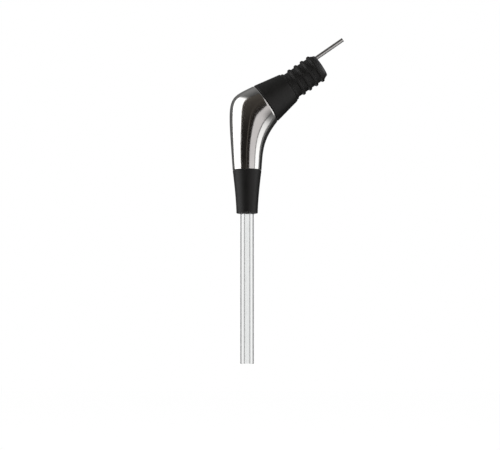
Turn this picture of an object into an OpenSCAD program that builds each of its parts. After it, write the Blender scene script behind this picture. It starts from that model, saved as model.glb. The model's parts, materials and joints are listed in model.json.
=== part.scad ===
// Pourer: a finned stopper, a bent steel body that swivels on it, and a soft nozzle
// that holds a long clear pouring tube.
// It stands in its pouring pose. +Z is up and the tube hangs along -Z. The stopper's axis
// lies in the XZ plane and rises towards +X. The origin is on that axis, in the plane of the
// shoulder that rests on the mouth of the neck. Distances along the axis are positive inwards,
// towards the tip of the plug.

/* [Stopper] */
// Angle of the stopper's axis above the horizontal, in degrees
stopper_tilt = 35; // [31:0.5:38]
// Length of the cone between the neck's mouth and the vent gap
cone_length = 18; // [15.5:0.5:20]
// Diameter of the cone at the neck's mouth
mouth_d = 20.8; // [20.2:0.1:22.5]
// Diameter of the sealing fins
fin_d = 19.5; // [18.8:0.1:20]
// Width of a fin's rim
fin_rim = 1.2; // [0.8:0.1:1.6]
// Axial length of the slope on each side of a fin
fin_slope = 0.8; // [0.4:0.1:1.2]
// Distance from one fin to the next
fin_pitch = 5; // [4.4:0.1:6]
// Number of fins below the shoulder
fin_count = 4; // [3:1:5]
// Length of the sealing band under the shoulder
band_length = 1.5; // [1:0.1:2]
// Length of the bare shank after the last fin
shank_tip = 2.5; // [2:0.1:4]
// Thickness of the soft wall between the fins
shank_wall = 1.1; // [0.9:0.05:1.3]

/* [Stopper core] */
// Diameter of the flow bore through the stopper, the swivel and the hose tails
flow_d = 6; // [5.4:0.1:6.4]
// Wall between the flow bore and the seal groove of a spigot
spigot_wall = 1.3; // [1.1:0.05:1.4]
// Length of a spigot
spigot_length = 5.4; // [5.3:0.1:6.2]
// Distance from a spigot's shoulder to the middle of its seal
seal_inset = 1.9; // [1.8:0.05:2]
// Distance from the swivel's shoulder to the middle of its snap ring
snap_inset = 4.2; // [4:0.1:4.5]
// Web left between two bores, or between a bore and an outer face
web = 0.6; // [0.5:0.05:0.7]
// Length of the lip that keeps the soft stopper on its core
lip_length = 1.5; // [1:0.1:2]
// Height of that lip over the stem
lip_height = 0.6; // [0.4:0.1:0.8]

/* [Air return] */
// Diameter of the check ball
ball_d = 3; // [2.8:0.1:3.2]
// Travel of the check ball off its seat
ball_travel = 2; // [1.5:0.1:2.5]
// Diameter of the hole in the valve seat
seat_hole_d = 1.6; // [1.4:0.1:1.7]
// Length of the valve seat
seat_length = 2; // [1.8:0.1:2.4]
// Depth of the seat's 45 degree countersink
seat_sink = 0.6; // [0.5:0.05:0.65]
// Outer diameter of the air tube
air_tube_d = 2.6; // [2.4:0.1:2.8]
// Wall of the air tube
air_tube_wall = 0.4; // [0.3:0.05:0.5]
// Length of the air tube inside its socket
air_tube_seat = 6; // [5:0.5:8]
// Length of the air tube past the stopper's tip
air_tube_reach = 22; // [10:1:50]

/* [Strainer] */
// Width of the ledge that carries the strainer
strainer_ledge = 0.8; // [0.7:0.05:0.9]
// Thickness of the strainer disc
strainer_thickness = 0.6; // [0.4:0.1:0.8]
// Thickness of the ring that holds the strainer
strainer_ring_thickness = 0.9; // [0.7:0.1:1.2]
// Diameter of a strainer hole
strainer_hole_d = 0.9; // [0.7:0.05:1]
// Distance between strainer holes
strainer_pitch = 1.3; // [1.2:0.05:1.4]

/* [Steel body] */
// Diameter of the body at the stopper
joint_d = 27.8; // [26.8:0.1:29]
// Diameter of the body at the nozzle
outlet_d = 18.8; // [18:0.1:20]
// Wall of the body
steel_wall = 1.2; // [1:0.1:1.3]
// Horizontal distance from the neck's mouth to the tube's axis
reach = 27.1; // [25:0.1:29]
// Drop from the neck's mouth to the body's lower rim
drop = 54.4; // [51:0.1:58]
// Angle at which the heel opens from the stopper's axis, in degrees
heel_flare = 8; // [7:0.5:12]
// Angle at which the crook opens from the stopper's axis, in degrees
crook_flare = 16.5; // [14:0.5:20]
// Angle at which both sides close towards the nozzle, in degrees
outlet_taper = 4; // [3:0.5:5]
// How far the heel keeps its direction from the stopper
heel_lead = 20.1; // [18:0.1:24]
// How far the heel keeps its direction from the nozzle
heel_tail = 50.1; // [44:0.1:52]
// How far the crook keeps its direction from the stopper
crook_lead = 15.7; // [13:0.1:17]
// How far the crook keeps its direction from the nozzle
crook_tail = 12.6; // [10:0.1:14]

/* [Inlet bush and hose] */
// Wall of the hub that the stopper's core bears on
hub_wall = 0.8; // [0.6:0.05:0.9]
// Depth of the vent chamber behind the body's upper rim
vent_depth = 0.8; // [0.6:0.1:1]
// Thickness of the bush's outer rim
bush_rim = 3; // [2.4:0.1:3.4]
// Wall of the bush round the swivel
bush_wall = 3.2; // [2.6:0.1:3.6]
// Thickness of a closing wall behind a socket
socket_floor = 1.1; // [1:0.1:1.4]
// Thickness of the snap ring
snap_thickness = 0.9; // [0.7:0.05:1]
// Radial width of the snap ring on each side of the swivel gap
snap_half = 0.6; // [0.5:0.05:0.65]
// Angle of the snap ring that is left open, in degrees
snap_opening = 40; // [30:5:60]
// Wall of a hose tail
tail_wall = 0.9; // [0.8:0.05:1]
// Wall of the hose
hose_wall = 1.3; // [1.1:0.1:1.5]
// Radius of the hose's bend along its axis
hose_bend = 6.4; // [6:0.1:8]
// Length of the lower hose tail
lower_tail = 5.5; // [4:0.5:8]
// Width of a hose clip
clip_width = 1.4; // [1.2:0.1:1.8]
// Thickness of a hose clip
clip_thickness = 0.5; // [0.4:0.05:0.7]

/* [Nozzle and tube] */
// Length of the soft nozzle
nozzle_length = 28; // [26:0.1:34]
// Diameter of the nozzle's tip
nozzle_tip_d = 13.9; // [13.6:0.1:15]
// How strongly the nozzle's flare is drawn in
flare_power = 1.45; // [1.2:0.05:1.7]
// Width of the chamfer round the nozzle's tip
tip_chamfer = 0.4; // [0.3:0.1:0.8]
// Thickness of the nozzle's closed tip
tip_floor = 3.6; // [3:0.1:4.5]
// Thickness of the tube holder's flange
flange_thickness = 1.8; // [1.4:0.1:2.2]
// Width of the flange over the holder's barrel
flange_width = 1.3; // [1:0.1:1.4]
// Height of the bead that keeps the nozzle on the holder
bead_height = 0.4; // [0.2:0.05:0.5]
// Length of that bead
bead_length = 1.4; // [1:0.1:2]
// Distance from the flange to the middle of the bead
bead_inset = 9; // [7:0.5:11]
// Outer diameter of the pouring tube
tube_d = 8.7; // [8.4:0.1:8.9]
// Bore of the pouring tube
tube_bore_d = 3.2; // [2.8:0.1:4]
// Length of the pouring tube
tube_length = 117.3; // [60:0.1:160]
// Distance from the body's lower rim to the upper end of the tube
tube_stop = 8.3; // [7:0.1:10]
// Wall of the holder outside its seals
holder_wall = 0.6; // [0.5:0.05:0.65]
// Distance from the holder's tip to its lower seal
tube_seal_inset = 3; // [2.4:0.1:4]
// Distance between the holder's two seals
tube_seal_pitch = 8; // [6:0.5:9]

/* [Seals and clearances] */
// Section diameter of the spigot seals
seal_d = 1.3; // [1.2:0.05:1.4]
// Section diameter of the tube seals
tube_seal_d = 1.1; // [1:0.05:1.15]
// Room along a seal's groove
seal_room = 0.5; // [0.3:0.05:0.6]
// Radial clearance at each side of a seal
seal_gap = 0.03; // [0.02:0.01:0.05]
// Radial clearance of parts that turn or slide in each other
run_gap = 0.05; // [0.03:0.01:0.08]
// Clearance of parts that are pressed or bonded together
fit_gap = 0.03; // [0.02:0.01:0.05]
// Axial clearance where one part bears on another
seat_gap = 0.05; // [0.03:0.01:0.1]
// Clearance between a bonded insert and the steel wall
bond_gap = 0.15; // [0.12:0.01:0.25]
// Radial clearance of the check ball in its chamber
ball_gap = 0.12; // [0.08:0.01:0.2]
// Vent gap between the stopper and the steel body
vent_gap = 0.4; // [0.3:0.05:0.6]
// Parting gap between the steel body and the nozzle
nozzle_gap = 0.2; // [0.15:0.05:0.3]

/* [Hidden] */
$fn = 64;

// Counts of steps that draw the curved forms
body_steps = 30;
body_sides = 40;
arc_steps = 48;
flare_steps = 10;
bend_steps = 8;
hose_sides = 24;

soft_black = [0.13, 0.13, 0.13];
hard_black = [0.2, 0.2, 0.21];
polished_steel = [0.78, 0.78, 0.79];
milky_soft = [0.86, 0.86, 0.84];
clear_tube = [0.86, 0.9, 0.92, 0.5];

// Radii worked out from the flow bore outwards
flow_r = flow_d / 2;
joint_r = joint_d / 2;
outlet_r = outlet_d / 2;
groove_r = flow_r + spigot_wall;
socket_r = groove_r + seal_d + 2 * seal_gap;
spigot_r = socket_r - run_gap;
hub_r = socket_r + hub_wall;
tail_r = flow_r + tail_wall;
hose_bore_corner_r = (tail_r + fit_gap) / cos(180 / hose_sides);
hose_corner_r = hose_bore_corner_r + hose_wall;
snap_inner_r = spigot_r - snap_half;
snap_outer_r = socket_r + snap_half;

// Air return, on the upper side of the stopper
ball_r = ball_d / 2;
seat_hole_r = seat_hole_d / 2;
chamber_r = ball_r + ball_gap;
valve_offset = hub_r + 4 * seat_gap + seat_hole_r;
air_tube_r = air_tube_d / 2;
air_bore_r = air_tube_r - air_tube_wall;
strainer_r = flow_r + strainer_ledge;
air_offset = strainer_r + web + air_tube_r;

// Stopper radii
stem_r = air_offset + air_tube_r + web;
shank_r = stem_r + fit_gap + shank_wall;
collar_r = valve_offset + chamber_r + 2 * web;
mouth_r = mouth_d / 2;
fin_r = fin_d / 2;

// Places along the stopper's axis
cone_end = -cone_length;
body_rim = cone_end - vent_gap;
plug_end = band_length + fin_count * fin_pitch + shank_tip;
stem_end = plug_end + seat_gap + lip_length;
seat_end = cone_end + seat_length;
ball_rest = seat_end - seat_sink - seat_hole_r + sqrt(2) * (ball_r + seal_gap);
chamber_end = ball_rest + ball_r + ball_travel + 2 * seat_gap;
cross_place = chamber_end - air_bore_r - 4 * seat_gap;
collar_end = chamber_end + 2 * web;
strainer_seat = stem_end - strainer_ring_thickness - strainer_thickness;
spigot_end = cone_end - spigot_length;
swivel_seal_place = cone_end - seal_inset;
snap_place = cone_end - snap_inset;
bush_face = body_rim - vent_depth;
bush_end = spigot_end - 2 * seat_gap - socket_floor;

// Where the stopper's axis meets the tube's axis, and the hose's bend round that corner
bend_angle = 90 - stopper_tilt;
bend_run = hose_bend * tan(bend_angle / 2);
corner = -reach / cos(stopper_tilt);
corner_z = -reach * tan(stopper_tilt);
bend_start = corner + bend_run;
bend_end_z = corner_z - bend_run;
upper_tail_end = bend_start + 4 * seat_gap;

// Heights along the tube's axis
outlet_z = -drop;
socket_top = outlet_z + spigot_length + 2 * seat_gap;
outlet_collar_top = socket_top + socket_floor;
flange_top = outlet_z - seat_gap;
flange_bottom = flange_top - flange_thickness;
sleeve_top = outlet_z - nozzle_gap;
sleeve_bottom = sleeve_top - nozzle_length;
holder_bottom = sleeve_bottom + tip_floor + seat_gap;
tube_top = outlet_z - tube_stop;
tube_bottom = tube_top - tube_length;
holder_seal_place = flange_top + seal_inset;

// Nozzle radii, from the tube outwards
tube_r = tube_d / 2;
tube_socket_r = tube_r + run_gap;
tube_groove_r = tube_r + tube_seal_d + 2 * seal_gap;
barrel_r = tube_groove_r + holder_wall;
flange_r = barrel_r + flange_width;
bead_r = barrel_r + bead_height;
bead_place = flange_bottom - bead_inset;
lower_tube_seal = holder_bottom + tube_seal_inset;

// Puts a part that is drawn along Z on the stopper's axis
module on_stopper() {
    rotate([0, 90 - stopper_tilt, 0])
        children();
}

// Puts a part that is drawn along Z on the tube's axis
module on_tube() {
    translate([-reach, 0, 0])
        children();
}

// Moves a part to the air return's side of the stopper
module on_air_side(offset_r, place) {
    translate([-offset_r, 0, place])
        children();
}

// A turned part, from its outline of [radius, height] points
module turned(outline) {
    rotate_extrude()
        polygon(outline);
}

// A ring of round section
module seal(inner_r, section_d, place) {
    translate([0, 0, place])
        rotate_extrude()
            translate([inner_r + section_d / 2, 0])
                circle(d = section_d);
}

// A ring of square section round an axis, as a piece or as a groove to cut
module square_ring(inner_r, outer_r, width, place) {
    turned([
        [inner_r, place - width / 2],
        [outer_r, place - width / 2],
        [outer_r, place + width / 2],
        [inner_r, place + width / 2]
    ]);
}

// Outline of one fin, centred on a place along the stopper's axis
function fin_outline(place) = [
    [shank_r, place - fin_rim / 2 - fin_slope],
    [fin_r, place - fin_rim / 2],
    [fin_r, place + fin_rim / 2],
    [shank_r, place + fin_rim / 2 + fin_slope]
];

fins = [
    for (i = [1 : fin_count])
        each fin_outline(band_length + i * fin_pitch)
];

module neck_stopper() {
    color(soft_black)
        on_stopper()
            turned(concat(
                [
                    [collar_r + fit_gap, cone_end],
                    [joint_r, cone_end],
                    [mouth_r, 0],
                    [fin_r, 0],
                    [fin_r, band_length],
                    [shank_r, band_length + fin_slope]
                ],
                fins,
                [
                    [shank_r, plug_end - fin_slope],
                    [shank_r - shank_wall / 2, plug_end],
                    [stem_r + fit_gap, plug_end],
                    [stem_r + fit_gap, collar_end + fit_gap],
                    [collar_r + fit_gap, collar_end + fit_gap]
                ]
            ));
}

module stopper_core() {
    color(hard_black)
        on_stopper()
            difference() {
                turned([
                    [flow_r, spigot_end],
                    [spigot_r, spigot_end],
                    [spigot_r, cone_end],
                    [collar_r, cone_end],
                    [collar_r, collar_end],
                    [stem_r, collar_end],
                    [stem_r, plug_end + seat_gap],
                    [stem_r + lip_height, plug_end + seat_gap],
                    [stem_r, stem_end],
                    [strainer_r, stem_end],
                    [strainer_r, strainer_seat],
                    [flow_r, strainer_seat]
                ]);
                square_ring(groove_r, socket_r, seal_d + seal_room, swivel_seal_place);
                square_ring(
                    snap_inner_r - seat_gap,
                    socket_r,
                    snap_thickness + 2 * seat_gap,
                    snap_place
                );
                on_air_side(valve_offset, cone_end - web)
                    cylinder(r = chamber_r, h = chamber_end - cone_end + web);
                on_air_side(valve_offset, cross_place)
                    rotate([0, 90, 0])
                        cylinder(r = air_bore_r - seat_gap, h = valve_offset - air_offset);
                on_air_side(air_offset, cross_place - air_bore_r)
                    cylinder(r = air_bore_r, h = stem_end - cross_place);
                on_air_side(air_offset, stem_end - air_tube_seat)
                    cylinder(r = air_tube_r + fit_gap, h = air_tube_seat + web);
            }
}

module valve_seat() {
    seat_r = chamber_r - fit_gap;
    color(polished_steel)
        on_stopper()
            on_air_side(valve_offset, cone_end)
                turned([
                    [seat_hole_r, 0],
                    [seat_r, 0],
                    [seat_r, seat_length],
                    [seat_hole_r + seat_sink, seat_length],
                    [seat_hole_r, seat_length - seat_sink]
                ]);
}

module check_ball() {
    color(polished_steel)
        on_stopper()
            on_air_side(valve_offset, ball_rest)
                sphere(r = ball_r);
}

module air_tube() {
    socket_floor_place = stem_end - air_tube_seat + seat_gap;
    color(polished_steel)
        on_stopper()
            on_air_side(air_offset, socket_floor_place)
                difference() {
                    cylinder(r = air_tube_r, h = air_tube_seat + air_tube_reach);
                    translate([0, 0, -web])
                        cylinder(r = air_bore_r, h = air_tube_seat + air_tube_reach + 2 * web);
                }
}

module strainer_disc() {
    hole_rings = 2;
    color(polished_steel)
        on_stopper()
            translate([0, 0, strainer_seat])
                difference() {
                    cylinder(r = strainer_r - fit_gap, h = strainer_thickness);
                    for (a = [-hole_rings : hole_rings], b = [-hole_rings : hole_rings])
                        if (abs(a + b) <= hole_rings)
                            translate([(a + b / 2) * strainer_pitch, b * strainer_pitch * sin(60), -web])
                                cylinder(d = strainer_hole_d, h = strainer_thickness + 2 * web);
                }
}

module strainer_ring() {
    ring_place = strainer_seat + strainer_thickness;
    color(polished_steel)
        on_stopper()
            turned([
                [flow_r, ring_place],
                [strainer_r - fit_gap, ring_place],
                [strainer_r - fit_gap, stem_end],
                [flow_r + strainer_ledge / 4, stem_end]
            ]);
}

module swivel_seal() {
    color(soft_black)
        on_stopper()
            seal(groove_r + seal_gap, seal_d, swivel_seal_place);
}

// Point at share t of a curve that leaves its first point towards its second one
// and comes to its last point from the third one
function curve_at(p, t) =
    pow(1 - t, 3) * p[0]
    + 3 * pow(1 - t, 2) * t * p[1]
    + 3 * (1 - t) * pow(t, 2) * p[2]
    + pow(t, 3) * p[3];

function heading(angle) = [cos(angle), sin(angle)];

function side_curve(start, start_angle, lead, tail, end, end_angle) = [
    start,
    start + lead * heading(start_angle),
    end - tail * heading(end_angle),
    end
];

// Pairs of [length along a curve, share t], for steps of equal length
function length_table(p, i = 0, run = 0) =
    i == arc_steps
        ? [[run, 1]]
        : concat(
            [[run, i / arc_steps]],
            length_table(
                p,
                i + 1,
                run + norm(curve_at(p, (i + 1) / arc_steps) - curve_at(p, i / arc_steps))
            )
        );

function along(p, table, s) = curve_at(p, lookup(s * table[arc_steps][0], table));

// The body's outline in the XZ plane: the heel outside the bend and the crook inside it
axis_dir = heading(stopper_tilt);
side_dir = heading(stopper_tilt + 90);
heel = side_curve(
    body_rim * axis_dir + joint_r * side_dir,
    180 + stopper_tilt - heel_flare,
    heel_lead,
    heel_tail,
    [-reach - outlet_r, outlet_z],
    270 + outlet_taper
);
crook = side_curve(
    body_rim * axis_dir - joint_r * side_dir,
    180 + stopper_tilt + crook_flare,
    crook_lead,
    crook_tail,
    [-reach + outlet_r, outlet_z],
    270 - outlet_taper
);
heel_table = length_table(heel);
crook_table = length_table(crook);

function ease(s) = s * s * (3 - 2 * s);

// One oval section of the body, at share s of its length, drawn in by an inset
function body_section(s, inset) =
    let (
        outer = along(heel, heel_table, s),
        inner = along(crook, crook_table, s),
        middle = (outer + inner) / 2,
        half = norm(outer - inner) / 2,
        across = (outer - inner) / (2 * half),
        depth = joint_r + (outlet_r - joint_r) * ease(s) - inset
    )
    [
        for (k = [0 : body_sides - 1])
            let (
                turn = 360 * k / body_sides,
                flat = middle + across * (half - inset) * cos(turn)
            )
            [flat.x, depth * sin(turn), flat.y]
    ];

// Two triangles between neighbouring points of two rings that start at points a and b
function band_faces(a, b, sides) = [
    for (k = [0 : sides - 1])
        let (next = (k + 1) % sides)
        each [[a + k, b + k, b + next], [a + k, b + next, a + next]]
];

// Faces of a shell whose points are its outer rings, end to end, and then its inner rings
function shell_faces(rings, sides) =
    let (
        inner = rings * sides,
        last = (rings - 1) * sides
    )
    [
        for (i = [0 : rings - 2])
            each band_faces(i * sides, (i + 1) * sides, sides),
        for (i = [0 : rings - 2])
            each band_faces(inner + (i + 1) * sides, inner + i * sides, sides),
        each band_faces(inner, 0, sides),
        each band_faces(last, inner + last, sides)
    ];

module steel_body() {
    skin = [
        for (inset = [0, steel_wall], i = [0 : body_steps])
            each body_section(i / body_steps, inset)
    ];
    color(polished_steel)
        polyhedron(points = skin, faces = shell_faces(body_steps + 1, body_sides));
}

module inlet_bush() {
    rim_r = joint_r - steel_wall - bond_gap;
    bush_r = socket_r + bush_wall;
    color(hard_black)
        on_stopper()
            difference() {
                turned([
                    [flow_r, upper_tail_end],
                    [tail_r, upper_tail_end],
                    [tail_r, bush_end],
                    [bush_r, bush_end],
                    [bush_r, bush_face - bush_rim],
                    [rim_r, bush_face - bush_rim],
                    [rim_r, bush_face],
                    [hub_r, bush_face],
                    [hub_r, cone_end - seat_gap],
                    [socket_r, cone_end - seat_gap],
                    [socket_r, bush_end + socket_floor],
                    [flow_r, bush_end + socket_floor]
                ]);
                square_ring(
                    flow_r,
                    snap_outer_r + seat_gap,
                    snap_thickness + 2 * seat_gap,
                    snap_place
                );
            }
}

module snap_ring() {
    color(polished_steel)
        on_stopper()
            translate([0, 0, snap_place - snap_thickness / 2])
                rotate([0, 0, snap_opening / 2])
                    rotate_extrude(angle = 360 - snap_opening)
                        translate([snap_inner_r, 0])
                            square([snap_outer_r - snap_inner_r, snap_thickness]);
}

// Places along the hose: a point in the XZ plane, and the angle of its outer side there
bend_middle = [hose_bend - reach, bend_end_z];
hose_places = [
    [(bush_end - seat_gap) * axis_dir, 90 + stopper_tilt],
    for (i = [0 : bend_steps])
        let (angle = 90 + stopper_tilt + bend_angle * i / bend_steps)
        [bend_middle + hose_bend * heading(angle), angle],
    [[-reach, outlet_collar_top + seat_gap], 180]
];

function hose_ring(place, r) = [
    for (k = [0 : hose_sides - 1])
        let (
            turn = 360 * k / hose_sides,
            flat = place[0] + heading(place[1]) * r * cos(turn)
        )
        [flat.x, r * sin(turn), flat.y]
];

module flow_hose() {
    skin = [
        for (r = [hose_corner_r, hose_bore_corner_r], place = hose_places)
            each hose_ring(place, r)
    ];
    color(milky_soft)
        polyhedron(points = skin, faces = shell_faces(len(hose_places), hose_sides));
}

// A crimped ring round the hose, centred on a place along its axis
module hose_clip(place) {
    clip_r = hose_corner_r + fit_gap;
    square_ring(clip_r, clip_r + clip_thickness, clip_width, place);
}

module upper_hose_clip() {
    color(polished_steel)
        on_stopper()
            hose_clip((bush_end + upper_tail_end) / 2);
}

module lower_hose_clip() {
    color(polished_steel)
        on_tube()
            hose_clip(outlet_collar_top + lower_tail / 2);
}

module outlet_collar() {
    outer_r = outlet_r - steel_wall - bond_gap;
    color(hard_black)
        on_tube()
            turned([
                [socket_r, outlet_z],
                [outer_r, outlet_z],
                [outer_r, outlet_collar_top],
                [tail_r, outlet_collar_top],
                [tail_r, outlet_collar_top + lower_tail],
                [flow_r, outlet_collar_top + lower_tail],
                [flow_r, socket_top],
                [socket_r, socket_top]
            ]);
}

// Radius of the nozzle's outside at share s from its top to its tip
function nozzle_r(s) =
    nozzle_tip_d / 2 + (outlet_r - nozzle_tip_d / 2) * pow(1 - s, flare_power);

module nozzle_sleeve() {
    chamfer_share = 1 - tip_chamfer / nozzle_length;
    flare = [
        for (i = [0 : flare_steps])
            let (s = chamfer_share * i / flare_steps)
            [nozzle_r(s), sleeve_top - s * nozzle_length]
    ];
    color(soft_black)
        on_tube()
            difference() {
                turned(concat(
                    flare,
                    [
                        [nozzle_tip_d / 2 - tip_chamfer, sleeve_bottom],
                        [tube_r + 2 * run_gap, sleeve_bottom],
                        [tube_r + 2 * run_gap, sleeve_bottom + tip_floor],
                        [barrel_r + fit_gap, sleeve_bottom + tip_floor],
                        [barrel_r + fit_gap, flange_bottom - fit_gap],
                        [flange_r + fit_gap, flange_bottom - fit_gap],
                        [flange_r + fit_gap, sleeve_top]
                    ]
                ));
                square_ring(tube_r, bead_r + fit_gap, bead_length + 2 * fit_gap, bead_place);
            }
}

module tube_holder() {
    spigot_top = flange_top + spigot_length;
    color(hard_black)
        on_tube()
            difference() {
                turned([
                    [flow_r, spigot_top],
                    [spigot_r, spigot_top],
                    [spigot_r, flange_top],
                    [flange_r, flange_top],
                    [flange_r, flange_bottom],
                    [barrel_r, flange_bottom],
                    [barrel_r, bead_place + bead_length / 2],
                    [bead_r, bead_place + bead_length / 2],
                    [bead_r, bead_place - bead_length / 2],
                    [barrel_r, bead_place - bead_length / 2],
                    [barrel_r, holder_bottom],
                    [tube_socket_r, holder_bottom],
                    [tube_socket_r, tube_top + seat_gap],
                    [flow_r, tube_top + seat_gap]
                ]);
                square_ring(groove_r, socket_r, seal_d + seal_room, holder_seal_place);
                for (i = [0, 1])
                    square_ring(
                        flow_r,
                        tube_groove_r,
                        tube_seal_d + seal_room,
                        lower_tube_seal + i * tube_seal_pitch
                    );
            }
}

module holder_seal() {
    color(soft_black)
        on_tube()
            seal(groove_r + seal_gap, seal_d, holder_seal_place);
}

module tube_seals() {
    color(soft_black)
        on_tube()
            for (i = [0, 1])
                seal(tube_r + seal_gap, tube_seal_d, lower_tube_seal + i * tube_seal_pitch);
}

module pour_tube() {
    color(clear_tube)
        on_tube()
            translate([0, 0, tube_bottom])
                difference() {
                    cylinder(r = tube_r, h = tube_length);
                    translate([0, 0, -web])
                        cylinder(d = tube_bore_d, h = tube_length + 2 * web);
                }
}

neck_stopper();
stopper_core();
valve_seat();
check_ball();
air_tube();
strainer_disc();
strainer_ring();
swivel_seal();
steel_body();
inlet_bush();
snap_ring();
flow_hose();
upper_hose_clip();
lower_hose_clip();
outlet_collar();
nozzle_sleeve();
tube_holder();
holder_seal();
tube_seals();
pour_tube();
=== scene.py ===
"""Looks of the pourer: a soft finned stopper, a bent steel body, a soft nozzle and a long clear tube.

Sizes are in millimetres unless a name says otherwise, and MM turns them into the frame's metres.
A turned piece is drawn along its own Z axis. STOPPER and TUBE place such a piece in the frame.
"""

import json
import math

import bmesh
import bpy
from mathutils import Matrix, Vector


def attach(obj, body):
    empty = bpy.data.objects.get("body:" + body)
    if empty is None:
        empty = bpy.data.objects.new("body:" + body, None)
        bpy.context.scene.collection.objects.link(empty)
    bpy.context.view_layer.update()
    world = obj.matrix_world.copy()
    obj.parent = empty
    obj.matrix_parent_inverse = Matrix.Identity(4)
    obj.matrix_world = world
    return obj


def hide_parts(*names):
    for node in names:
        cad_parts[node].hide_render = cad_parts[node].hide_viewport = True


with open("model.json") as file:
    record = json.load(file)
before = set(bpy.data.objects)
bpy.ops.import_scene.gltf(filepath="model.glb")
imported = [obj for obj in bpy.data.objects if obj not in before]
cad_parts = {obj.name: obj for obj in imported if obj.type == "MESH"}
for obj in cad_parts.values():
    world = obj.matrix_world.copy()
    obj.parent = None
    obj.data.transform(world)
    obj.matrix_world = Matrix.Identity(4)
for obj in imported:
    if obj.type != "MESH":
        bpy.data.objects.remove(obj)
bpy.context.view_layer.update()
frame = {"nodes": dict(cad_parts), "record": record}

MM = 0.001
TURN = 2 * math.pi

mounts = {mount["name"]: mount for mount in frame["record"]["mounts"]}
stopper_axis = Vector(mounts["neck_plug"]["axis"])
tube_x = mounts["tube_outlet"]["pos_m"][0]
STOPPER = Vector((0, 0, 1)).rotation_difference(stopper_axis).to_matrix().to_4x4()
TUBE = Matrix.Translation((tube_x, 0, 0))


# Camera, fitted to the photograph's outline

IMAGE_WIDTH_PX = 500
FOCAL_PX = 1517.7
SENSOR_WIDTH = 36
EYE = Vector((-25.2, -982, -178.5)) * MM
PITCH_DEGREES = 5.137


def add_camera():
    lens = bpy.data.cameras.new("camera")
    lens.sensor_width = SENSOR_WIDTH
    lens.lens = FOCAL_PX / IMAGE_WIDTH_PX * SENSOR_WIDTH
    eye = bpy.data.objects.new("camera", lens)
    eye.location = EYE
    eye.rotation_euler = (math.radians(90 + PITCH_DEGREES), 0, 0)
    bpy.context.scene.collection.objects.link(eye)
    bpy.context.scene.camera = eye


# Node trees

class Signal:
    """An output socket of a node tree. Arithmetic on it adds the tree's maths nodes."""

    def __init__(self, tree, socket):
        self.tree = tree
        self.socket = socket

    def other(self, output):
        return Signal(self.tree, self.socket.node.outputs[output])

    def combine(self, operation, first, second):
        terms = (first, second)
        vector = any(isinstance(t, Signal) and t.socket.type == "VECTOR" for t in terms)
        kind = "ShaderNodeVectorMath" if vector else "ShaderNodeMath"
        return self.tree.node(kind, {"operation": operation}, {0: first, 1: second})

    def __add__(self, term):
        return self.combine("ADD", self, term)

    def __radd__(self, term):
        return self.combine("ADD", term, self)

    def __sub__(self, term):
        return self.combine("SUBTRACT", self, term)

    def __rsub__(self, term):
        return self.combine("SUBTRACT", term, self)

    def __mul__(self, term):
        return self.combine("MULTIPLY", self, term)

    def __rmul__(self, term):
        return self.combine("MULTIPLY", term, self)

    def __truediv__(self, term):
        return self.combine("DIVIDE", self, term)

    def __pow__(self, term):
        return self.combine("POWER", self, term)


class Tree:
    """A node tree that is being built."""

    def __init__(self, node_tree):
        self.node_tree = node_tree

    def feed(self, socket, value):
        if isinstance(value, Signal):
            self.node_tree.links.new(value.socket, socket)
        elif socket.type == "VECTOR" and isinstance(value, (int, float)):
            socket.default_value = (value, value, value)
        elif socket.type == "RGBA" and len(value) == 3:
            socket.default_value = (*value, 1)
        else:
            socket.default_value = value

    def node(self, kind, settings=None, inputs=None, output=0):
        made = self.node_tree.nodes.new(kind)
        for key, value in (settings or {}).items():
            setattr(made, key, value)
        for key, value in (inputs or {}).items():
            self.feed(made.inputs[key], value)
        return Signal(self, made.outputs[output])

    def between(self, value, start, end):
        """0 where the value is at start and 1 where it is at end, and no less or more beyond them."""
        ends = {"Value": value, "From Min": start, "From Max": end}
        return self.node("ShaderNodeMapRange", None, ends)


class Finish(Tree):
    """A material with one shader for its whole surface."""

    def __init__(self, name):
        self.material = bpy.data.materials.new(name)
        self.material.use_nodes = True
        super().__init__(self.material.node_tree)
        self.shader = self.node_tree.nodes["Principled BSDF"]

    def set(self, **values):
        for name, value in values.items():
            self.feed(self.shader.inputs[name.replace("_", " ")], value)

    def place(self, stretch=(1, 1, 1)):
        here = self.node("ShaderNodeTexCoord", output="Object")
        return self.node("ShaderNodeMapping", None, {"Vector": here, "Scale": stretch})

    def attribute(self, name, output):
        return self.node("ShaderNodeAttribute", {"attribute_name": name}, output=output)

    def noise(self, place, size, detail=2):
        sizes = {"Vector": place, "Scale": 1 / size, "Detail": detail}
        return self.node("ShaderNodeTexNoise", None, sizes)

    def blend(self, share, first, second):
        mix = self.node("ShaderNodeMix", {"data_type": "RGBA"}, {"Factor": share})
        colours = (socket for socket in mix.socket.node.inputs if socket.type == "RGBA")
        for socket, colour in zip(colours, (first, second)):
            self.feed(socket, colour)
        return Signal(self, next(s for s in mix.socket.node.outputs if s.type == "RGBA"))

    def bump(self, height, depth, strength):
        sizes = {"Height": height, "Distance": depth, "Strength": strength}
        return self.node("ShaderNodeBump", None, sizes)


# Finishes

EDGE = "edge"
LENGTHWISE = "lengthwise"
STEEL_LINES_AROUND = 230
STEEL_LINES_ALONG = 2.4
STEEL_WAVE_HEIGHT = 14

# The two colours that each finish blends
COLOURS = {
    "black_silicone": ((0.003, 0.0028, 0.0026), (0.017, 0.016, 0.015)),
    "seal_rubber": ((0.006, 0.006, 0.006), (0.025, 0.025, 0.025)),
    "black_plastic": ((0.014, 0.014, 0.015), (0.045, 0.045, 0.047)),
    "polished_steel": ((0.75, 0.742, 0.73), (0.66, 0.65, 0.638)),
    "small_steel": ((0.66, 0.655, 0.645), (0.52, 0.515, 0.505)),
    "milky_silicone": ((0.78, 0.77, 0.73), (0.66, 0.65, 0.61)),
    "clear_acrylic": ((0.92, 0.926, 0.924), (0.89, 0.898, 0.896)),
}


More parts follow.
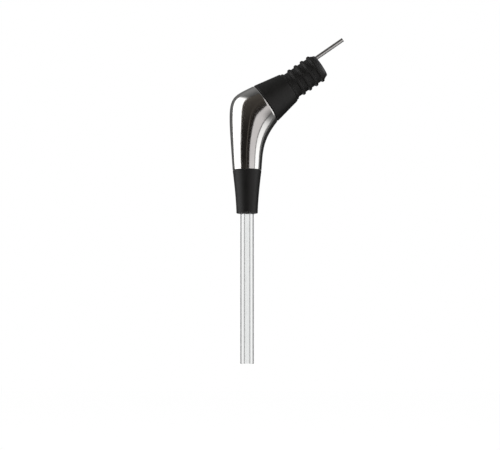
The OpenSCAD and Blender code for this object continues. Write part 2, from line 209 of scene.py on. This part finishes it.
def soft_black(name, roughness, grain_size):
    """Moulded rubber: a fine matt grain, faint clouds of tone and paler rounded edges, partly wear and
    partly a painted sheen.
    """
    finish = Finish(name)
    place = finish.place()
    cloud = finish.noise(place, size=7 * MM, detail=3)
    grain = finish.noise(place, size=grain_size)
    patches = finish.noise(place, size=1.6 * MM, detail=3)
    # Rounded edges are made paler in patches: partly wear, partly a painted sheen on the edges.
    pale_edges = finish.attribute(EDGE, "Fac") * finish.between(patches, start=0.42, end=0.62)
    finish.set(
        Base_Color=finish.blend(cloud * 0.25 + pale_edges * 0.5, *COLOURS[name]),
        Roughness=roughness - 0.06 + cloud * 0.12 + pale_edges * 0.05,
        Normal=finish.bump(grain + cloud * 0.5, depth=0.012 * MM, strength=0.2),
        IOR=1.43,
    )
    return finish.material


def hard_black(name):
    """Moulded plastic: glossier than the soft pieces, with a fine spark-eroded grain."""
    finish = Finish(name)
    place = finish.place()
    cloud = finish.noise(place, size=5 * MM)
    grain = finish.noise(place, size=0.22 * MM)
    pale_edges = finish.attribute(EDGE, "Fac") * finish.between(cloud, start=0.4, end=0.65)
    finish.set(
        Base_Color=finish.blend(cloud * 0.3 + pale_edges * 0.4, *COLOURS[name]),
        Roughness=0.32 + cloud * 0.12,
        Normal=finish.bump(grain, depth=0.008 * MM, strength=0.25),
        IOR=1.5,
    )
    return finish.material


def mirror_steel(name):
    """Polished steel: fine lengthwise lines, slow waves many times their height and a faint haze."""
    finish = Finish(name)
    around = finish.attribute(LENGTHWISE, "Vector")
    counts = (STEEL_LINES_AROUND, STEEL_LINES_ALONG, 1)
    lines = finish.node("ShaderNodeMapping", None, {"Vector": around, "Scale": counts})
    fine = finish.noise(lines, size=1, detail=3)
    place = finish.place()
    haze = finish.noise(place, size=8 * MM, detail=4)
    wave = finish.noise(place, size=11 * MM, detail=1)
    finish.set(
        Base_Color=finish.blend(haze, *COLOURS[name]),
        Metallic=1,
        Roughness=0.06 + haze * 0.08 + fine * 0.08,
        Normal=finish.bump(wave * STEEL_WAVE_HEIGHT + fine, depth=0.006 * MM, strength=0.3),
    )
    return finish.material


def drawn_steel(name):
    """Small drawn and stamped steel pieces: satin, with a slight grain."""
    finish = Finish(name)
    lines = finish.noise(finish.place(stretch=(1, 1, 0.12)), size=0.12 * MM, detail=3)
    haze = finish.noise(finish.place(), size=2.5 * MM)
    finish.set(
        Base_Color=finish.blend(haze, *COLOURS[name]),
        Metallic=1,
        Roughness=0.2 + lines * 0.12,
        Normal=finish.bump(lines, depth=0.004 * MM, strength=0.3),
    )
    return finish.material


def milky_silicone(name):
    """Unfilled silicone of the hose: milky, with faint clouds and lengthwise draw lines."""
    finish = Finish(name)
    cloud = finish.noise(finish.place(), size=3 * MM, detail=3)
    lines = finish.noise(finish.place(stretch=(1, 1, 0.08)), size=0.3 * MM)
    finish.set(
        Base_Color=finish.blend(cloud, *COLOURS[name]),
        Roughness=0.38 + cloud * 0.15,
        Normal=finish.bump(lines, depth=0.02 * MM, strength=0.25),
    )
    return finish.material


def clear_acrylic(name):
    """Clear extruded tube: a faint grey body, faint draw lines and a trace of haze."""
    finish = Finish(name)
    lines = finish.noise(finish.place(stretch=(1, 1, 0.02)), size=0.5 * MM)
    haze = finish.noise(finish.place(), size=12 * MM, detail=3)
    finish.set(
        Base_Color=finish.blend(haze, *COLOURS[name]),
        Roughness=0.01 + haze * 0.03,
        Normal=finish.bump(lines, depth=0.004 * MM, strength=0.12),
        IOR=1.49,
        Transmission_Weight=1,
    )
    return finish.material


FINISHES = {
    "black_silicone": soft_black("black_silicone", roughness=0.5, grain_size=0.3 * MM),
    "seal_rubber": soft_black("seal_rubber", roughness=0.4, grain_size=0.15 * MM),
    "black_plastic": hard_black("black_plastic"),
    "polished_steel": mirror_steel("polished_steel"),
    "small_steel": drawn_steel("small_steel"),
    "milky_silicone": milky_silicone("milky_silicone"),
    "clear_acrylic": clear_acrylic("clear_acrylic"),
}


# Making of meshes

SIDES = 96
ARC_STEPS = 5
CORNER_SHARE = 0.38
GUARD_SHARE = 0.3
SAME = 0.02


def circles(node, axis_frame):
    """Radius and height of each corner of a turned CAD node."""
    back = axis_frame.inverted()
    spots = [back @ vertex.co / MM for vertex in frame["nodes"][node].data.vertices]
    return [(math.hypot(spot.x, spot.y), spot.z) for spot in spots]


def turned_box(node, axis_frame):
    """A turned CAD node's smallest and largest radius, and its lowest and highest place."""
    radii, heights = zip(*circles(node, axis_frame))
    return min(radii), max(radii), min(heights), max(heights)


def levels(node, axis_frame, radius):
    """The places, from the lowest up, at which a turned CAD node has corners of a radius."""
    found = []
    for corner_r, height in sorted(circles(node, axis_frame), key=lambda corner: corner[1]):
        if abs(corner_r - radius) < SAME and (not found or height - found[-1] > SAME):
            found.append(height)
    return found


def rounded(corners):
    """Points (radius, height, edge) of a closed outline of corners (radius, height, rounding).

    A guard point on each side of a rounding keeps the long faces next to it flat in the light.
    """
    points = []
    for i, (radius, height, rounding) in enumerate(corners):
        here = Vector((radius, height))
        before = Vector(corners[i - 1][:2]) - here
        after = Vector(corners[(i + 1) % len(corners)][:2]) - here
        if not rounding:
            points.append((radius, height, 0))
            continue
        half = before.angle(after) / 2
        reach = min(rounding / math.tan(half), CORNER_SHARE * min(before.length, after.length))
        before.normalize()
        after.normalize()
        bend = reach * math.tan(half)
        middle = here + (before + after).normalized() * (bend / math.sin(half))
        first = (here + before * reach - middle).normalized()
        last = (here + after * reach - middle).normalized()
        guard = here + before * reach * (1 + GUARD_SHARE)
        points.append((guard.x, guard.y, 0))
        for step in range(ARC_STEPS + 1):
            spot = middle + first.slerp(last, step / ARC_STEPS) * bend
            points.append((spot.x, spot.y, 1))
        guard = here + after * reach * (1 + GUARD_SHARE)
        points.append((guard.x, guard.y, 0))
    return points


def linked(name, mesh):
    piece = bpy.data.objects.new(name, mesh)
    bpy.context.scene.collection.objects.link(piece)
    return piece


def lathe(name, corners, axis_frame):
    """A turned piece, spun from its outline."""
    outline = rounded(corners)
    vertices = []
    edges = []
    for radius, height, edge in outline:
        for k in range(SIDES):
            angle = TURN * k / SIDES
            spot = Vector((radius * math.cos(angle), radius * math.sin(angle), height))
            vertices.append(axis_frame @ (spot * MM))
            edges.append(edge)
    faces = []
    for j in range(len(outline)):
        a = j * SIDES
        b = (j + 1) % len(outline) * SIDES
        for k in range(SIDES):
            after = (k + 1) % SIDES
            faces.append((a + k, a + after, b + after, b + k))
    mesh = bpy.data.meshes.new(name)
    mesh.from_pydata(vertices, [], faces)
    mesh.attributes.new(EDGE, "FLOAT", "POINT").data.foreach_set("value", edges)
    face_outwards(mesh)
    return linked(name, mesh)


def face_outwards(mesh):
    shell = bmesh.new()
    shell.from_mesh(mesh)
    bmesh.ops.recalc_face_normals(shell, faces=shell.faces)
    shell.to_mesh(mesh)
    shell.free()
    mesh.shade_smooth()


def settled(piece):
    """Turns a piece's modifiers into its plain mesh."""
    shape = piece.evaluated_get(bpy.context.evaluated_depsgraph_get())
    mesh = bpy.data.meshes.new_from_object(shape)
    piece.modifiers.clear()
    piece.data = mesh
    return piece


SOCKET_KINDS = {float: "NodeSocketFloat", int: "NodeSocketInt", Vector: "NodeSocketVector"}


def grown(name, grow, sizes, slot):
    """A piece that a node tree makes: grow builds the tree, and sizes are its named inputs."""
    group = bpy.data.node_groups.new(name, "GeometryNodeTree")
    tree = Tree(group)
    group.interface.new_socket("Geometry", in_out="OUTPUT", socket_type="NodeSocketGeometry")
    keys = {}
    for label, value in sizes.items():
        kind = SOCKET_KINDS[type(value)]
        keys[label] = group.interface.new_socket(label, in_out="INPUT", socket_type=kind).identifier
    finish = group.interface.new_socket("Finish", in_out="INPUT", socket_type="NodeSocketMaterial")
    entry = group.nodes.new("NodeGroupInput")
    inputs = {label: Signal(tree, entry.outputs[label]) for label in sizes}
    shape = tree.node("GeometryNodeRealizeInstances", None, {"Geometry": grow(tree, inputs)})
    coat = {"Geometry": shape, "Material": Signal(tree, entry.outputs["Finish"])}
    coated = tree.node("GeometryNodeSetMaterial", None, coat)
    tree.feed(group.nodes.new("NodeGroupOutput").inputs["Geometry"], coated)
    piece = linked(name, bpy.data.meshes.new(name))
    modifier = piece.modifiers.new("grow", "NODES")
    modifier.node_group = group
    for label, value in sizes.items():
        modifier[keys[label]] = value
    modifier[finish.identifier] = FINISHES[slot]
    return settled(piece)


def dress(piece, body, slot, *nodes):
    """Gives a piece its finish, its body and the CAD nodes that it stands for."""
    piece.data.materials.clear()
    piece.data.materials.append(FINISHES[slot])
    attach(piece, body)
    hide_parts(*nodes)


# Stopper

MOUTH_R = 10.4
FIN_R = mounts["neck_plug"]["dims"]["r_mm"]
FIN_COUNT = 4
FIN_PITCH = 5
FIN_RIM = 1.2
FIN_SLOPE = 0.8
BAND_LENGTH = 1.5
SHANK_WALL = 1.1
COLLAR_R = 10.31
AIR_OFFSET = 5.7
RING_FLARE = 0.2
SOFT_EDGE = 0.35
FINE_EDGE = 0.12

stem_r, joint_r, cone_end, plug_end = turned_box("neck_stopper", STOPPER)


def soft_stopper():
    """The cone and the finned plug, moulded in one piece over the core."""
    shank_r = stem_r + SHANK_WALL
    collar_end = levels("neck_stopper", STOPPER, COLLAR_R)[-1]
    fins = []
    for i in range(1, FIN_COUNT + 1):
        middle = BAND_LENGTH + i * FIN_PITCH
        fins += [
            (shank_r, middle - FIN_RIM / 2 - FIN_SLOPE, SOFT_EDGE),
            (FIN_R, middle - FIN_RIM / 2, SOFT_EDGE),
            (FIN_R, middle + FIN_RIM / 2, SOFT_EDGE),
            (shank_r, middle + FIN_RIM / 2 + FIN_SLOPE, SOFT_EDGE),
        ]
    outline = [
        (COLLAR_R, cone_end, FINE_EDGE),
        (joint_r, cone_end, SOFT_EDGE),
        (MOUTH_R, 0, SOFT_EDGE),
        (FIN_R, 0, FINE_EDGE),
        (FIN_R, BAND_LENGTH, SOFT_EDGE),
        (shank_r, BAND_LENGTH + FIN_SLOPE, SOFT_EDGE),
        *fins,
        (shank_r, plug_end - FIN_SLOPE, SOFT_EDGE),
        (shank_r - SHANK_WALL / 2, plug_end, SOFT_EDGE),
        (stem_r, plug_end, FINE_EDGE),
        (stem_r, collar_end, FINE_EDGE),
        (COLLAR_R, collar_end, FINE_EDGE),
    ]
    dress(lathe("soft_stopper", outline, STOPPER), "stopper", "black_silicone", "neck_stopper")


def air_pipe():
    """The thin tube beside the strainer."""
    axis_frame = STOPPER @ Matrix.Translation((-AIR_OFFSET * MM, 0, 0))
    bore_r, pipe_r, start, end = turned_box("air_tube", axis_frame)
    outline = [
        (bore_r, start, FINE_EDGE),
        (pipe_r, start, FINE_EDGE),
        (pipe_r, end, FINE_EDGE),
        (bore_r, end, FINE_EDGE),
    ]
    dress(lathe("air_pipe", outline, axis_frame), "stopper", "small_steel", "air_tube")


def strainer_rim():
    """The pressed ring that holds the strainer, with its mouth flared outwards."""
    bore_r, ring_r, start, end = turned_box("strainer_ring", STOPPER)
    outline = [
        (bore_r, start, FINE_EDGE),
        (ring_r, start, FINE_EDGE),
        (ring_r, end, FINE_EDGE),
        (bore_r + RING_FLARE, end, FINE_EDGE),
    ]
    dress(lathe("strainer_rim", outline, STOPPER), "stopper", "small_steel", "strainer_ring")


# Steel body

STEEL_WALL = 1
STEEL_EDGE = 0.1
STEEL_EDGE_STEPS = 3
STEEL_EDGE_DEGREES = 50
RIM_LENGTH = 1.0
RIM_DRAW = 0.3
CROOK_LAG = 0.5
DEPTH_POWER = 1.4
HEEL_FLARE, HEEL_LEAD, HEEL_TAIL = 8, 20.1, 50.1
CROOK_FLARE, CROOK_LEAD, CROOK_TAIL = 16.5, 15.7, 12.6
OUTLET_TAPER = 4
BODY_RINGS = 150
BODY_SIDES = 128
CURVE_STEPS = 160
WELD = 1e-6
SIDE_POINTS = ("Start", "Start Handle", "End Handle", "End")

body_rim = turned_box("steel_body", STOPPER)[3]
outlet_z = turned_box("steel_body", TUBE)[2]
hole_r, outlet_r, nozzle_end, nozzle_top = turned_box("nozzle_sleeve", TUBE)


def heading(degrees):
    angle = math.radians(degrees)
    return Vector((math.cos(angle), 0, math.sin(angle)))


def side_points(label, side, flare, lead, tail):
    """A side's ends and their two handles. side is 1 on the heel and -1 on the crook."""
    tilt = math.degrees(math.asin(stopper_axis.z))
    start = body_rim * stopper_axis + side * joint_r * heading(tilt + 90)
    end = Vector((tube_x / MM - side * outlet_r, 0, outlet_z))
    start_handle = start + lead * heading(180 + tilt - side * flare)
    end_handle = end - tail * heading(270 + side * OUTLET_TAPER)
    points = zip(SIDE_POINTS, (start, start_handle, end_handle, end))
    return {f"{label} {name}": point * MM for name, point in points}


def grow_body(tree, size):
    """A skin lofted between the heel and the crook, with oval sections and the joint's rim drawn in.

    It is a bent grid, whose X goes round the sections and whose Y goes from the joint to the outlet.
    The crook lags behind the heel, so the sections turn most next to the joint.
    """
    counts = {"Vertices X": size["Sides"] + 1, "Vertices Y": size["Rings"] + 1}
    grid = tree.node("GeometryNodeMeshGrid", None, {"Size X": 1.0, "Size Y": 1.0, **counts})
    named = {"Geometry": grid, "Name": LENGTHWISE, "Value": grid.other("UV Map")}
    kinds = {"data_type": "FLOAT2", "domain": "CORNER"}
    grid = tree.node("GeometryNodeStoreNamedAttribute", kinds, named)
    spot = tree.node("ShaderNodeSeparateXYZ", None, {0: tree.node("GeometryNodeInputPosition")})
    turn = (spot + 0.5) * TURN
    share = spot.other("Y") + 0.5
    across = tree.node("ShaderNodeMath", {"operation": "COSINE"}, {0: turn})

    def side_at(label, along):
        """The place on a side's curve at a share of its length, and its distance from the joint."""
        ends = {name: size[f"{label} {name}"] for name in SIDE_POINTS}
        bent = {"Resolution": CURVE_STEPS, **ends}
        curve = tree.node("GeometryNodeCurvePrimitiveBezierSegment", None, bent)
        sample = {"Curves": curve, "Factor": along}
        place = tree.node("GeometryNodeSampleCurve", {"mode": "FACTOR"}, sample, "Position")
        return place, tree.node("GeometryNodeCurveLength", None, {"Curve": curve}) * along

    def round_section(at_heel, at_crook):
        return (at_heel + at_crook) * 0.5 + (at_heel - at_crook) * 0.5 * across

    heel, heel_run = side_at("Heel", share)
    crook, crook_run = side_at("Crook", share * (1 - size["Crook Lag"] * (1 - share)))
    late = share ** size["Depth Power"]
    ease = late * late * (3 - 2 * late)
    depth = size["Joint Depth"] + (size["Outlet Depth"] - size["Joint Depth"]) * ease
    deep = depth * tree.node("ShaderNodeMath", {"operation": "SINE"}, {0: turn})
    rim = tree.between(round_section(heel_run, crook_run), size["Rim Length"], 0.0)
    kept = 1 - rim * rim * size["Rim Draw"] / depth
    middle = (heel + crook) * 0.5
    flat = middle + (round_section(heel, crook) - middle) * kept
    place = flat + tree.node("ShaderNodeCombineXYZ", None, {"Y": deep * kept})
    skin = tree.node("GeometryNodeSetPosition", None, {"Geometry": grid, "Position": place})
    return tree.node("GeometryNodeMergeByDistance", None, {"Geometry": skin, "Distance": WELD})


def steel_shell():
    """The bent body: a skin given its wall."""
    sizes = {
        **side_points("Heel", 1, HEEL_FLARE, HEEL_LEAD, HEEL_TAIL),
        **side_points("Crook", -1, CROOK_FLARE, CROOK_LEAD, CROOK_TAIL),
        "Joint Depth": joint_r * MM,
        "Outlet Depth": outlet_r * MM,
        "Rim Length": RIM_LENGTH * MM,
        "Rim Draw": RIM_DRAW * MM,
        "Crook Lag": CROOK_LAG,
        "Depth Power": DEPTH_POWER,
        "Rings": BODY_RINGS,
        "Sides": BODY_SIDES,
    }
    shell = grown("steel_shell", grow_body, sizes, "polished_steel")
    face_outwards(shell.data)
    wall = shell.modifiers.new("wall", "SOLIDIFY")
    wall.thickness = STEEL_WALL * MM
    wall.offset = -1
    wall.use_even_offset = True
    rims = shell.modifiers.new("rims", "BEVEL")
    rims.width = STEEL_EDGE * MM
    rims.segments = STEEL_EDGE_STEPS
    rims.limit_method = "ANGLE"
    rims.angle_limit = math.radians(STEEL_EDGE_DEGREES)
    settled(shell)
    shell.data.shade_smooth()
    dress(shell, "spout", "polished_steel", "steel_body")


# Nozzle and tube

TIP_R = 6.95
TIP_EDGE = 0.4
TIP_FLOOR = 3.6
FLARE_POWER = 1.45
FLARE_STEPS = 18
BARREL_R = 6.11
FLANGE_R = 7.41
SPIGOT_R = 5.61
SOCKET_R = 5.66
GROOVE_R = 4.3
BEAD_R = 6.51
TUBE_SOCKET_R = 4.4
TUBE_GROOVE_R = 5.51
TAIL_R = 3.9
FIT = 0.03


def soft_nozzle():
    """The flared sleeve, drawn in along a curve to a closed tip round the tube."""
    length = nozzle_top - nozzle_end
    flange_bottom = levels("tube_holder", TUBE, FLANGE_R)[0]
    bead_bottom, bead_top = levels("tube_holder", TUBE, BEAD_R)
    flare = []
    for i in range(1, FLARE_STEPS):
        share = i / FLARE_STEPS
        radius = TIP_R + (outlet_r - TIP_R) * (1 - share) ** FLARE_POWER
        flare.append((radius, nozzle_top - share * length, 0))
    outline = [
        (outlet_r, nozzle_top, SOFT_EDGE),
        *flare,
        (TIP_R, nozzle_end, TIP_EDGE),
        (hole_r, nozzle_end, SOFT_EDGE),
        (hole_r, nozzle_end + TIP_FLOOR, FINE_EDGE),
        (BARREL_R + FIT, nozzle_end + TIP_FLOOR, FINE_EDGE),
        (BARREL_R + FIT, bead_bottom - FIT, FINE_EDGE),
        (BEAD_R + FIT, bead_bottom - FIT, FINE_EDGE),
        (BEAD_R + FIT, bead_top + FIT, FINE_EDGE),
        (BARREL_R + FIT, bead_top + FIT, FINE_EDGE),
        (BARREL_R + FIT, flange_bottom - FIT, FINE_EDGE),
        (FLANGE_R + FIT, flange_bottom - FIT, FINE_EDGE),
        (FLANGE_R + FIT, nozzle_top, FINE_EDGE),
    ]
    dress(lathe("soft_nozzle", outline, TUBE), "nozzle", "black_silicone", "nozzle_sleeve")


def nozzle_holder():
    """The rigid holder: a spigot with a seal groove, a flange, and a barrel with the tube's grooves."""
    flow_r, _, bottom, top = turned_box("tube_holder", TUBE)
    flange_bottom, flange_top = levels("tube_holder", TUBE, FLANGE_R)
    bead_bottom, bead_top = levels("tube_holder", TUBE, BEAD_R)
    seal_bottom, seal_top = levels("tube_holder", TUBE, GROOVE_R)
    socket_top = levels("tube_holder", TUBE, TUBE_SOCKET_R)[-1]
    grooves = levels("tube_holder", TUBE, TUBE_GROOVE_R)
    inside = []
    for low, high in zip(grooves[::2], grooves[1::2]):
        inside += [
            (TUBE_SOCKET_R, low, FINE_EDGE),
            (TUBE_GROOVE_R, low, 0),
            (TUBE_GROOVE_R, high, 0),
            (TUBE_SOCKET_R, high, FINE_EDGE),
        ]
    outline = [
        (TUBE_SOCKET_R, bottom, SOFT_EDGE),
        *inside,
        (TUBE_SOCKET_R, socket_top, 0),
        (flow_r, socket_top, FINE_EDGE),
        (flow_r, top, SOFT_EDGE),
        (SPIGOT_R, top, SOFT_EDGE),
        (SPIGOT_R, seal_top, FINE_EDGE),
        (GROOVE_R, seal_top, 0),
        (GROOVE_R, seal_bottom, 0),
        (SPIGOT_R, seal_bottom, FINE_EDGE),
        (SPIGOT_R, flange_top, FINE_EDGE),
        (FLANGE_R, flange_top, FINE_EDGE),
        (FLANGE_R, flange_bottom, FINE_EDGE),
        (BARREL_R, flange_bottom, FINE_EDGE),
        (BARREL_R, bead_top, FINE_EDGE),
        (BEAD_R, bead_top, FINE_EDGE),
        (BEAD_R, bead_bottom, FINE_EDGE),
        (BARREL_R, bead_bottom, FINE_EDGE),
        (BARREL_R, bottom, SOFT_EDGE),
    ]
    dress(lathe("nozzle_holder", outline, TUBE), "nozzle", "black_plastic", "tube_holder")


def outlet_socket():
    """The collar in the steel body's lower end, with the hose tail on top of it."""
    flow_r, collar_r, bottom, top = turned_box("outlet_collar", TUBE)
    collar_top = levels("outlet_collar", TUBE, collar_r)[-1]
    socket_top = levels("outlet_collar", TUBE, SOCKET_R)[-1]
    outline = [
        (SOCKET_R, bottom, SOFT_EDGE),
        (collar_r, bottom, FINE_EDGE),
        (collar_r, collar_top, FINE_EDGE),
        (TAIL_R, collar_top, FINE_EDGE),
        (TAIL_R, top, SOFT_EDGE),
        (flow_r, top, FINE_EDGE),
        (flow_r, socket_top, FINE_EDGE),
        (SOCKET_R, socket_top, 0),
    ]
    dress(lathe("outlet_socket", outline, TUBE), "spout", "black_plastic", "outlet_collar")


def pouring_tube():
    """The long clear tube, with its ends rounded."""
    bore_r, tube_r, bottom, top = turned_box("pour_tube", TUBE)
    outline = [
        (bore_r, bottom, SOFT_EDGE),
        (tube_r, bottom, SOFT_EDGE),
        (tube_r, top, SOFT_EDGE),
        (bore_r, top, SOFT_EDGE),
    ]
    dress(lathe("pouring_tube", outline, TUBE), "pour_tube", "clear_acrylic", "pour_tube")


# CAD nodes that keep their shape

KEPT = {
    "black_plastic": ("stopper_core", "inlet_bush"),
    "small_steel": (
        "valve_seat", "check_ball", "snap_ring", "upper_hose_clip", "lower_hose_clip", "strainer_disc"
    ),
    "seal_rubber": ("swivel_seal", "holder_seal", "tube_seals"),
    "milky_silicone": ("flow_hose",),
}


def finish_kept_nodes():
    """Gives the inner pieces, shown as they are, their finishes."""
    for slot, nodes in KEPT.items():
        for node in nodes:
            for material_slot in frame["nodes"][node].material_slots:
                material_slot.material = FINISHES[slot]


# Studio, in metres

FLOOR_Z = -0.275
FLOOR_SIZE = 8
FLOOR_COLOURS = ((0.97, 0.97, 0.97), (0.94, 0.94, 0.94))
FLOOR_SPECKLE = 0.4
FLOOR_ROUGHNESS = 0.8
FLOOR_GLOW = 0.9
AMBIENT = 1
NEUTRAL = (1, 1, 1)
WARM = (1, 0.88, 0.76)
ROSY = (1, 0.965, 0.965)

PANEL_TONE = "tone"
FOOT_R = 0.05
FOOT_LIFT = 0.002
FOOT_Z = FLOOR_Z + FOOT_LIFT
RING_R = 0.33
RING_TOP = 0.43
RING_END = 175
RING_LEVELS = (FOOT_Z, -0.14, -0.06, 0, 0.17, 0.335, RING_TOP)
BACK_BAND_BOTTOM = 0.07
BACK_BAND_TONE = 0.35
ROOF_TONE = 0.2
ROOF_END_TONE = 0.3

# Azimuth at which a panel starts, its tint, its tones from the end of its foot on the floor up the
# ring's levels, and the roof's tone above its start
PANELS = {
    "left_rear_flag": (-RING_END, NEUTRAL, (0.15, 0.1, 0.1, 0.1, 0.11, 0.15, 0.2, 0.26), 0.3),
    "left_flag": (-134, NEUTRAL, (0.2, 0.12, 0.12, 0.13, 0.14, 0.16, 0.18, 0.26), 0.27),
    "left_softbox": (-112, NEUTRAL, (0.6, 0.4, 0.8, 1.9, 1.9, 1.9, 1.8, 0.25), 0.25),
    "left_fade": (-49.7, WARM, (0.5, 0.15, 0.15, 0.15, 0.15, 0.17, 0.2, 0.1), 0.07),
    "front_left_flag": (-44.7, WARM, (0.4, 0.03, 0.018, 0.017, 0.042, 0.064, 0.085, 0.08), 0.07),
    "front_strip": (-6, WARM, (0.4, 0.12, 0.12, 0.11, 0.06, 0.07, 0.085, 0.07), 0.05),
    "front_right_flag": (-2, WARM, (0.4, 0.03, 0.018, 0.017, 0.042, 0.064, 0.085, 0.08), 0.05),
    "right_card": (17.5, ROSY, (0.5, 0.12, 0.72, 0.8, 0.84, 0.58, 0.06, 0.06), 0.08),
    "right_gap": (57.5, ROSY, (0.2, 0.08, 0.16, 0.2, 0.22, 0.18, 0.06, 0.06), 0.25),
    "right_softbox": (63.5, NEUTRAL, (0.4, 0.1, 1.15, 1.45, 1.6, 1.6, 1.6, 0.5), 0.25),
    "right_flag": (98, NEUTRAL, (0.2, 0.12, 0.2, 0.2, 0.2, 0.2, 0.2, 0.25), 0.3),
    "right_rear_flag": (115, NEUTRAL, (0.1, 0.03, 0.03, 0.03, 0.03, 0.04, 0.05, 0.2), 0.3),
}

EDGE_FOOT_R = 0.004
EDGE_RING_R = 0.2

# First and last azimuth to either side, and tone, of the flags that show only through the clear tube
EDGE_FLAGS = {
    "front_edge_fade": (34, 50, 0.85),
    "front_edge_flag": (50, 72, 0.5),
    "edge_flag": (106, 130, 0.02),
    "edge_fade": (130, 146, 0.7),
}

LAMP_AIM_Z = -0.07

# Place, width and height, and watts of each lamp
LAMPS = {
    "left_lamp": ((-1.2, -0.15, 0.35), (0.9, 1.4), 3),
    "right_lamp": ((1.2, -0.45, 0.2), (0.7, 1.2), 1.5),
    "top_lamp": ((0, -0.1, 1.3), (1.2, 1.2), 3),
}


def light_world():
    world = bpy.data.worlds.new("studio")
    world.use_nodes = True
    bpy.context.scene.world = world
    background = world.node_tree.nodes["Background"]
    background.inputs["Color"].default_value = (*NEUTRAL, 1)
    background.inputs["Strength"].default_value = AMBIENT


def seen_share(tree):
    """1 for rays that come from the camera, a mirror or clear material, and 0 for diffuse rays."""
    path = tree.node("ShaderNodeLightPath", output="Is Camera Ray")
    return path + path.other("Is Glossy Ray") + path.other("Is Transmission Ray")


def lay_floor():
    bpy.ops.mesh.primitive_plane_add(size=FLOOR_SIZE, location=(0, 0, FLOOR_Z))
    floor = bpy.context.object
    floor.name = "floor"
    finish = Finish("pale_floor")
    speckle = finish.noise(finish.place(), size=FLOOR_SPECKLE)
    finish.set(Base_Color=finish.blend(speckle, *FLOOR_COLOURS), Roughness=FLOOR_ROUGHNESS)
    glow = finish.node("ShaderNodeEmission", None, {"Color": NEUTRAL, "Strength": 1})
    mix = finish.node("ShaderNodeMixShader", None, {0: seen_share(finish) * FLOOR_GLOW, 2: glow})
    finish.node_tree.links.new(finish.shader.outputs[0], mix.socket.node.inputs[1])
    finish.feed(finish.node_tree.nodes["Material Output"].inputs["Surface"], mix)
    floor.data.materials.append(finish.material)


def panel_finish():
    material = bpy.data.materials.new("panel")
    material.use_nodes = True
    tree = Tree(material.node_tree)
    tone = tree.node("ShaderNodeAttribute", {"attribute_name": PANEL_TONE}, output="Color")
    glow = tree.node("ShaderNodeEmission", None, {"Color": tone, "Strength": 1})
    tree.feed(material.node_tree.nodes["Material Output"].inputs["Surface"], glow)
    return material


def post(degrees, height, radius):
    """A point round the tube's axis, at an azimuth from the camera, positive to its right."""
    angle = math.radians(degrees)
    return Vector((tube_x + radius * math.sin(angle), -radius * math.cos(angle), height))


def stand_panel(name, finish, corners, colours, faces, clear=False):
    """A glowing panel that shows only as a reflection or, if clear is set, only through the clear tube."""
    mesh = bpy.data.meshes.new(name)
    mesh.from_pydata(corners, [], faces)
    tones = mesh.attributes.new(PANEL_TONE, "FLOAT_COLOR", "POINT")
    for item, colour in zip(tones.data, colours):
        item.color = (*colour, 1)
    mesh.materials.append(finish)
    card = linked(name, mesh)
    card.visible_camera = False
    card.visible_diffuse = False
    card.visible_shadow = False
    card.visible_glossy = not clear
    card.visible_transmission = clear


def stand_strip(name, finish, azimuths, rows, colours, clear=False):
    """A panel between two azimuths. Each of its rows is a height and a radius, and has a colour."""
    corners = [post(azimuth, *row) for row in rows for azimuth in azimuths]
    corner_colours = [colour for colour in colours for _ in azimuths]
    faces = [(2 * i, 2 * i + 1, 2 * i + 3, 2 * i + 2) for i in range(len(rows) - 1)]
    stand_panel(name, finish, corners, corner_colours, faces, clear)


def grey(tone):
    return (tone, tone, tone)


def stand_ring(finish, borders):
    """The panels round the object, each with its foot on the floor, and a band in the gap at the back."""
    rows = ((FOOT_Z, FOOT_R), *((level, RING_R) for level in RING_LEVELS))
    for (name, panel), azimuths in zip(PANELS.items(), zip(borders, borders[1:])):
        _, tint, tones, _ = panel
        colours = [[tone * part for part in tint] for tone in tones]
        stand_strip(name, finish, azimuths, rows, colours)
    band = ((BACK_BAND_BOTTOM, RING_R), (RING_TOP, RING_R))
    stand_strip("back_band", finish, (RING_END, 360 - RING_END), band, [grey(BACK_BAND_TONE)] * len(band))


def stand_roof(finish, borders):
    """Slices from the roof's middle to the top of each panel."""
    corners = [Vector((tube_x, 0, RING_TOP)), *(post(azimuth, RING_TOP, RING_R) for azimuth in borders)]
    tones = [ROOF_TONE, *(panel[-1] for panel in PANELS.values()), ROOF_END_TONE]
    slices = [(0, i, i + 1) for i in range(1, len(borders))] + [(0, len(borders), 1)]
    stand_panel("roof", finish, corners, [grey(tone) for tone in tones], slices)


def stand_edge_flags(finish):
    """Flags on both sides that give the clear tube its dark edges."""
    rows = ((FOOT_Z, EDGE_FOOT_R), (FOOT_Z, EDGE_RING_R), (RING_TOP, EDGE_RING_R))
    for name, (start, end, tone) in EDGE_FLAGS.items():
        for label, side in (("left", -1), ("right", 1)):
            azimuths = (side * start, side * end)
            stand_strip(f"{label}_{name}", finish, azimuths, rows, [grey(tone)] * len(rows), clear=True)


def hang_lamps():
    aim = Vector((tube_x, 0, LAMP_AIM_Z))
    for name, (place, size, watts) in LAMPS.items():
        light = bpy.data.lights.new(name, "AREA")
        light.shape = "RECTANGLE"
        light.size, light.size_y = size
        light.energy = watts
        lamp = bpy.data.objects.new(name, light)
        lamp.location = place
        lamp.rotation_mode = "QUATERNION"
        lamp.rotation_quaternion = (aim - Vector(place)).to_track_quat("-Z", "Y")
        lamp.visible_glossy = False
        lamp.visible_transmission = False
        bpy.context.scene.collection.objects.link(lamp)


def set_studio():
    light_world()
    lay_floor()
    finish = panel_finish()
    borders = [*(panel[0] for panel in PANELS.values()), RING_END]
    stand_ring(finish, borders)
    stand_roof(finish, borders)
    stand_edge_flags(finish)
    hang_lamps()


add_camera()
soft_stopper()
air_pipe()
strainer_rim()
steel_shell()
soft_nozzle()
nozzle_holder()
outlet_socket()
pouring_tube()
finish_kept_nodes()
set_studio()
bpy.context.scene.view_settings.view_transform = "Standard"
